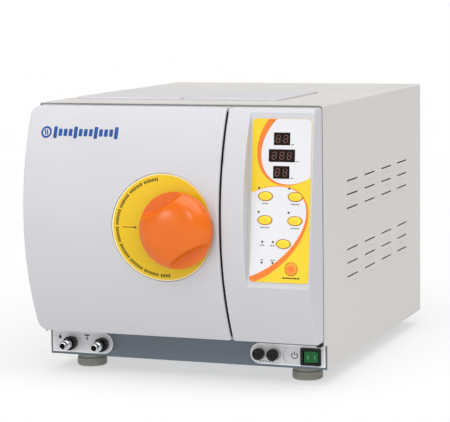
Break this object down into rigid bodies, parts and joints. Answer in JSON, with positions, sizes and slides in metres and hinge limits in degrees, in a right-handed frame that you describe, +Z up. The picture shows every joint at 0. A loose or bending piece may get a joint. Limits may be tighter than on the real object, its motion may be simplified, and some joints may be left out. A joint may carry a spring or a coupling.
{
  "type": "benchtop autoclave",
  "caption": "Box-shaped benchtop steam sterilizer with a bowed hinged door, a turning lock knob, a flat keypad facet, drain fittings and a pressure chamber inside.",
  "frame": {"origin": "middle of the footprint, at bench level", "axes": "+Z up, -Y out of the front, +X to the right as the user faces the front"},
  "size_m": [0.4476, 0.662, 0.413],
  "materials": {
    "painted_wrap": "fine textured paint",
    "painted_chassis": "satin paint",
    "moulded_cover": "satin moulding",
    "inner_cover": "satin moulding",
    "keypad_overlay": "printed satin film",
    "circuit_board": "solder resist",
    "display_glass": "dark lens",
    "led_lens": "clear dark lens",
    "black_plastic": "satin",
    "start_key": "printed film",
    "oval_key": "printed film",
    "yellow_disc": "printed film",
    "stainless": "brushed",
    "zinc_steel": "zinc plated",
    "machined_steel": "machined",
    "orange_knob": "high gloss",
    "bronze": "machined",
    "silicone": "matt",
    "insulation": "needled felt",
    "tray_aluminium": "anodised",
    "tank_plastic": "translucent white",
    "copper": "drawn",
    "label_plate": "printed film",
    "chrome": "polished",
    "green_rocker": "translucent",
    "foot_rubber": "matt",
    "black_rubber": "matt"
  },
  "bodies": {
    "chassis": {"base_pan": "painted_chassis", "bumpers": "black_rubber", "case_screws": "machined_steel", "chamber_flange": "stainless", "chamber_gasket": "silicone", "chamber_saddles": "zinc_steel", "chamber_vessel": "stainless", "clean_water_tank": "tank_plastic", "control_housing": "moulded_cover", "cooling_fan_housing": "black_plastic", "display_board": "circuit_board", "display_modules": "display_glass", "drain_valves": "chrome", "feet": "foot_rubber", "front_frame": "painted_chassis", "fuse_holders": "black_plastic", "heater_band": "zinc_steel", "hinge_brackets": "zinc_steel", "hinge_pins": "zinc_steel", "indicator_leds": "led_lens", "insulation_jacket": "insulation", "keeper": "machined_steel", "key_switches": "black_plastic", "keypad_membrane": "keypad_overlay", "lock_solenoid": "black_plastic", "mains_inlet": "black_plastic", "outer_casing": "painted_wrap", "power_board": "circuit_board", "power_switch_body": "black_plastic", "rear_panel": "painted_chassis", "steam_pipes": "copper", "steam_valves": "bronze", "strip_labels": "label_plate", "tray_rack": "stainless", "trays": "tray_aluminium", "used_water_tank": "tank_plastic", "water_pump": "black_plastic"},
    "door": {"door_cover": "moulded_cover", "door_lining": "inner_cover", "door_plate": "stainless", "door_frame": "zinc_steel", "door_disc": "yellow_disc", "knob_bush": "bronze"},
    "knob": {"lock_knob": "orange_knob", "knob_shaft": "machined_steel"},
    "latch": {"latch_bolt": "machined_steel"},
    "lock_pin": {"lock_pin": "machined_steel"},
    "tank_lid": {"tank_lid": "moulded_cover"},
    "power_rocker": {"power_rocker": "green_rocker"},
    "fuse_cap_left": {"fuse_cap_left": "black_plastic"},
    "fuse_cap_right": {"fuse_cap_right": "black_plastic"},
    "drain_ring_left": {"drain_ring_left": "black_plastic"},
    "drain_ring_right": {"drain_ring_right": "black_plastic"},
    "fan_rotor": {"fan_rotor": "black_plastic"},
    "key_program": {"key_program": "oval_key"},
    "key_temperature": {"key_temperature": "oval_key"},
    "key_pressure": {"key_pressure": "oval_key"},
    "key_drying": {"key_drying": "oval_key"},
    "key_cycle": {"key_cycle": "oval_key"},
    "start_key": {"start_key": "start_key"}
  },
  "joints": [
    {"name": "door_hinge", "type": "hinge", "parent": "chassis", "child": "door", "pos_m": [-0.2125, -0.248, 0.235], "axis": [0, 0, -1], "range_deg": [0, 108]},
    {"name": "knob_turn", "type": "hinge", "parent": "door", "child": "knob", "pos_m": [0.028, -0.299, 0.235], "axis": [0, 1, 0], "range_deg": [0, 90]},
    {"name": "latch_slide", "type": "slide", "parent": "door", "child": "latch", "axis": [1, 0, 0], "range_m": [0, 0.0126]},
    {"name": "lock_pin_slide", "type": "slide", "parent": "chassis", "child": "lock_pin", "axis": [0, -1, 0], "range_m": [0, 0.01], "stiffness_N_per_m": 40},
    {"name": "tank_lid_hinge", "type": "hinge", "parent": "chassis", "child": "tank_lid", "pos_m": [-0.04, 0.0535, 0.4116], "axis": [-1, 0, 0], "range_deg": [0, 85]},
    {"name": "power_rocker_tilt", "type": "hinge", "parent": "chassis", "child": "power_rocker", "pos_m": [0.1966, -0.207, 0.0422], "axis": [0, 0, -1], "range_deg": [0, 16]},
    {"name": "fan_spin", "type": "hinge", "parent": "chassis", "child": "fan_rotor", "pos_m": [0.13, 0.298, 0.304], "axis": [0, 1, 0], "continuous": true},
    {"name": "fuse_cap_left_turn", "type": "hinge", "parent": "chassis", "child": "fuse_cap_left", "pos_m": [0.1173, -0.218, 0.043], "axis": [0, -1, 0], "range_deg": [0, 90]},
    {"name": "fuse_cap_right_turn", "type": "hinge", "parent": "chassis", "child": "fuse_cap_right", "pos_m": [0.1394, -0.218, 0.043], "axis": [0, -1, 0], "range_deg": [0, 90]},
    {"name": "drain_ring_left_turn", "type": "hinge", "parent": "chassis", "child": "drain_ring_left", "pos_m": [-0.1853, -0.222, 0.0432], "axis": [0, -1, 0], "range_deg": [0, 90]},
    {"name": "drain_ring_right_turn", "type": "hinge", "parent": "chassis", "child": "drain_ring_right", "pos_m": [-0.1334, -0.222, 0.0432], "axis": [0, -1, 0], "range_deg": [0, 90]},
    {"name": "key_program_press", "type": "slide", "parent": "chassis", "child": "key_program", "axis": [0, 0.9944, -0.1059], "range_m": [0, 0.0006], "stiffness_N_per_m": 400},
    {"name": "key_temperature_press", "type": "slide", "parent": "chassis", "child": "key_temperature", "axis": [0, 0.9944, -0.1059], "range_m": [0, 0.0006], "stiffness_N_per_m": 400},
    {"name": "key_pressure_press", "type": "slide", "parent": "chassis", "child": "key_pressure", "axis": [0, 0.9944, -0.1059], "range_m": [0, 0.0006], "stiffness_N_per_m": 400},
    {"name": "key_drying_press", "type": "slide", "parent": "chassis", "child": "key_drying", "axis": [0, 0.9944, -0.1059], "range_m": [0, 0.0006], "stiffness_N_per_m": 400},
    {"name": "key_cycle_press", "type": "slide", "parent": "chassis", "child": "key_cycle", "axis": [0, 0.9944, -0.1059], "range_m": [0, 0.0006], "stiffness_N_per_m": 400},
    {"name": "start_key_press", "type": "slide", "parent": "chassis", "child": "start_key", "axis": [0, 0.9944, -0.1059], "range_m": [0, 0.0006], "stiffness_N_per_m": 400}
  ],
  "couplings": [
    {"joint": "latch_slide", "follows": "knob_turn", "m_per_rad": 0.008}
  ]
}
